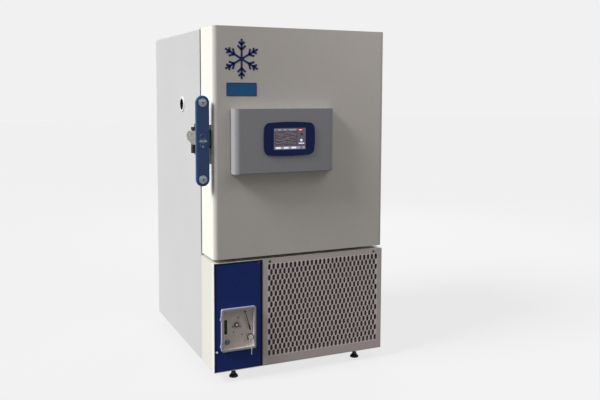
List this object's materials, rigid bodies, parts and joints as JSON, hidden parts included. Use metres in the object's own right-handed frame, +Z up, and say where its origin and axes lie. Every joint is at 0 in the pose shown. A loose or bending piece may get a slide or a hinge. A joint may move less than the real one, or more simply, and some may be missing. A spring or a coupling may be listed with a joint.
{
  "type": "upright ultra-low temperature freezer",
  "caption": "Tall floor-standing laboratory freezer: insulated hinged door with pull latch, inner doors, control panel, slotted grille and chart recorder.",
  "frame": {"origin": "on the floor, under the centre of the whole object's bounding box", "axes": "+Z up, -Y out of the door's front, +X towards the door's hinges (the right hand of somebody facing the door)"},
  "size_m": [1.0154, 1.138, 1.675],
  "materials": {
    "white_paint": "satin",
    "warm_grey_paint": "satin",
    "cream_paint": "satin",
    "panel_grey_paint": "satin",
    "blue_paint": "satin",
    "grey_sheet": "satin",
    "chassis_steel": "matte",
    "stainless": "satin",
    "zinc_steel": "satin",
    "bright_steel": "polished",
    "cast_metal": "matte",
    "fin_aluminium": "satin",
    "copper_tube": "satin",
    "compressor_black": "satin",
    "insulation_foam": "matte",
    "white_plastic": "satin",
    "black_plastic": "matte",
    "black_metal": "satin",
    "dark_blue_plastic": "gloss",
    "grip_blue": "satin",
    "display_glass": "gloss",
    "recorder_plastic": "satin",
    "recorder_plate": "matte",
    "clear_plastic": "gloss",
    "gasket_rubber": "matte",
    "filter_cloth": "matte",
    "wheel_tyre": "matte"
  },
  "bodies": {
    "cabinet": {"cabinet_wrap": "white_paint", "back_panel": "grey_sheet", "foam_insulation": "insulation_foam", "inner_liner": "stainless", "breaker_frame": "white_plastic", "evaporator_tube": "copper_tube", "shelf_supports": "stainless", "shelves": "stainless", "inner_hinge_brackets": "zinc_steel", "port_sleeve": "black_plastic", "port_ring": "white_plastic", "latch_keeper": "black_metal", "cabinet_hinge_leaves": "zinc_steel", "base_chassis": "chassis_steel", "base_front_surround": "cream_paint", "blue_fascia": "blue_paint", "grille_panel": "warm_grey_paint", "panel_screws": "black_metal", "air_filter": "filter_cloth", "condenser_coil": "fin_aluminium", "fan_shroud": "black_metal", "compressor_left": "compressor_black", "compressor_right": "compressor_black", "refrigerant_lines": "copper_tube", "electrical_box": "grey_sheet", "rear_grille": "grey_sheet", "power_inlet": "black_plastic", "caster_mounts": "zinc_steel", "recorder_case": "recorder_plastic", "chart_plate": "recorder_plate"},
    "door": {"door_skin": "warm_grey_paint", "door_foam": "insulation_foam", "door_liner": "white_plastic", "door_gasket": "gasket_rubber", "door_hinge_leaves": "zinc_steel", "control_housing": "panel_grey_paint", "control_bezel": "dark_blue_plastic", "touch_screen": "display_glass", "latch_bracket": "black_metal"},
    "latch": {"latch_lever": "cast_metal", "grip_bar": "grip_blue", "grip_screws": "bright_steel"},
    "key_lock": {"grip_lock": "bright_steel"},
    "inner_low": {"inner_door_low": "white_plastic"},
    "inner_middle": {"inner_door_middle": "white_plastic"},
    "inner_high": {"inner_door_high": "white_plastic"},
    "fan": {"condenser_fan": "black_plastic"},
    "chart": {"chart_hub": "cast_metal"},
    "pen": {"pen_arm": "black_plastic"},
    "chart_door": {"recorder_door": "recorder_plastic", "recorder_window": "clear_plastic"},
    "chart_lock": {"recorder_lock": "bright_steel"},
    "fork_left": {"caster_fork_left": "zinc_steel"},
    "fork_right": {"caster_fork_right": "zinc_steel"},
    "foot_left": {"levelling_foot_left": "black_metal"},
    "foot_right": {"levelling_foot_right": "black_metal"},
    "front_wheel_left": {"wheel_front_left": "wheel_tyre"},
    "front_wheel_right": {"wheel_front_right": "wheel_tyre"},
    "rear_wheel_left": {"wheel_rear_left": "wheel_tyre"},
    "rear_wheel_right": {"wheel_rear_right": "wheel_tyre"}
  },
  "joints": [
    {"name": "door_swing", "type": "hinge", "parent": "cabinet", "child": "door", "pos_m": [0.49375, -0.32, 1.1345], "axis": [0, 0, 1], "range_deg": [0, 110]},
    {"name": "latch_pull", "type": "hinge", "parent": "door", "child": "latch", "pos_m": [-0.44225, -0.479, 1.158], "axis": [0, 0, 1], "range_deg": [0, 30]},
    {"name": "key_turn", "type": "hinge", "parent": "latch", "child": "key_lock", "pos_m": [-0.47575, -0.511, 1.15], "axis": [0, -1, 0], "range_deg": [0, 90]},
    {"name": "inner_low_swing", "type": "hinge", "parent": "cabinet", "child": "inner_low", "pos_m": [0.34575, -0.277, 0.839], "axis": [0, 0, 1], "range_deg": [0, 100]},
    {"name": "inner_middle_swing", "type": "hinge", "parent": "cabinet", "child": "inner_middle", "pos_m": [0.34575, -0.277, 1.127], "axis": [0, 0, 1], "range_deg": [0, 100]},
    {"name": "inner_high_swing", "type": "hinge", "parent": "cabinet", "child": "inner_high", "pos_m": [0.34575, -0.277, 1.415], "axis": [0, 0, 1], "range_deg": [0, 100]},
    {"name": "fan_spin", "type": "hinge", "parent": "cabinet", "child": "fan", "pos_m": [0.22425, -0.345, 0.2925], "axis": [0, 1, 0], "continuous": true},
    {"name": "chart_turn", "type": "hinge", "parent": "cabinet", "child": "chart", "pos_m": [-0.31625, -0.506, 0.275], "axis": [0, 1, 0], "continuous": true},
    {"name": "pen_swing", "type": "hinge", "parent": "cabinet", "child": "pen", "pos_m": [-0.27325, -0.509, 0.333], "axis": [0, 1, 0], "range_deg": [0, 25]},
    {"name": "chart_door_swing", "type": "hinge", "parent": "cabinet", "child": "chart_door", "pos_m": [-0.39705, -0.5227, 0.258], "axis": [0, 0, -1], "range_deg": [0, 115]},
    {"name": "chart_lock_turn", "type": "hinge", "parent": "chart_door", "child": "chart_lock", "pos_m": [-0.25325, -0.525, 0.214], "axis": [0, -1, 0], "range_deg": [0, 90]},
    {"name": "swivel_left", "type": "hinge", "parent": "cabinet", "child": "fork_left", "pos_m": [-0.32825, -0.346, 0.097], "axis": [0, 0, 1], "continuous": true},
    {"name": "swivel_right", "type": "hinge", "parent": "cabinet", "child": "fork_right", "pos_m": [0.37175, -0.346, 0.097], "axis": [0, 0, 1], "continuous": true},
    {"name": "foot_turn_left", "type": "hinge", "parent": "cabinet", "child": "foot_left", "pos_m": [-0.31025, -0.445, 0.06], "axis": [0, 0, 1], "continuous": true},
    {"name": "foot_turn_right", "type": "hinge", "parent": "cabinet", "child": "foot_right", "pos_m": [0.35375, -0.445, 0.06], "axis": [0, 0, 1], "continuous": true},
    {"name": "roll_front_left", "type": "hinge", "parent": "fork_left", "child": "front_wheel_left", "pos_m": [-0.32825, -0.368, 0.0395], "axis": [1, 0, 0], "continuous": true},
    {"name": "roll_front_right", "type": "hinge", "parent": "fork_right", "child": "front_wheel_right", "pos_m": [0.37175, -0.368, 0.0395], "axis": [1, 0, 0], "continuous": true},
    {"name": "roll_rear_left", "type": "hinge", "parent": "cabinet", "child": "rear_wheel_left", "pos_m": [-0.32825, 0.469, 0.0375], "axis": [1, 0, 0], "continuous": true},
    {"name": "roll_rear_right", "type": "hinge", "parent": "cabinet", "child": "rear_wheel_right", "pos_m": [0.37175, 0.469, 0.0375], "axis": [1, 0, 0], "continuous": true}
  ],
  "couplings": [
    {"joint": "inner_low_swing", "follows": "door_swing", "ratio": 0.9},
    {"joint": "inner_middle_swing", "follows": "door_swing", "ratio": 0.9},
    {"joint": "inner_high_swing", "follows": "door_swing", "ratio": 0.9}
  ]
}
